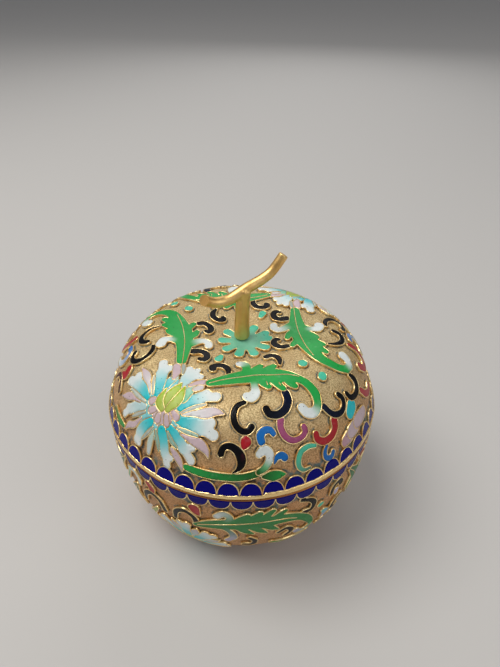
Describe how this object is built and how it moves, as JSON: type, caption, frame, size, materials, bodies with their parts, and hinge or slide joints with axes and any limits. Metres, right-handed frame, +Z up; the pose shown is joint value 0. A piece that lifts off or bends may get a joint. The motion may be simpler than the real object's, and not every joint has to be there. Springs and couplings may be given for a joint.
{
  "type": "cloisonne enamel box",
  "caption": "Round apple-shaped cloisonne enamel box with a lift-off domed lid, gilt rims and a brass twig handle, for keeping small things.",
  "frame": {"origin": "centre of the underside, on the surface the box stands on", "axes": "+Z up along the box's axis; +X to the viewer's right and -Y towards the viewer, with the twig's cut end at the front left"},
  "size_m": [0.08, 0.08, 0.0861],
  "materials": {
    "gilt_ground": "matte gilt, tarnished at the feet of the cells",
    "gilt_rim": "polished gilt",
    "twig_brass": "satin cast brass",
    "gilt_wire": "polished gilt wire",
    "enamel_green": "glossy enamel",
    "enamel_cobalt": "glossy enamel",
    "enamel_turquoise": "glossy enamel",
    "enamel_white": "glossy enamel",
    "enamel_black": "glossy enamel",
    "enamel_red": "glossy enamel",
    "enamel_pink": "glossy enamel"
  },
  "bodies": {
    "root": {"bowl": "gilt_ground", "bowl_rim": "gilt_rim", "lid": "gilt_ground", "lid_rim": "gilt_rim", "twig_handle": "twig_brass"}
  },
  "joints": []
}
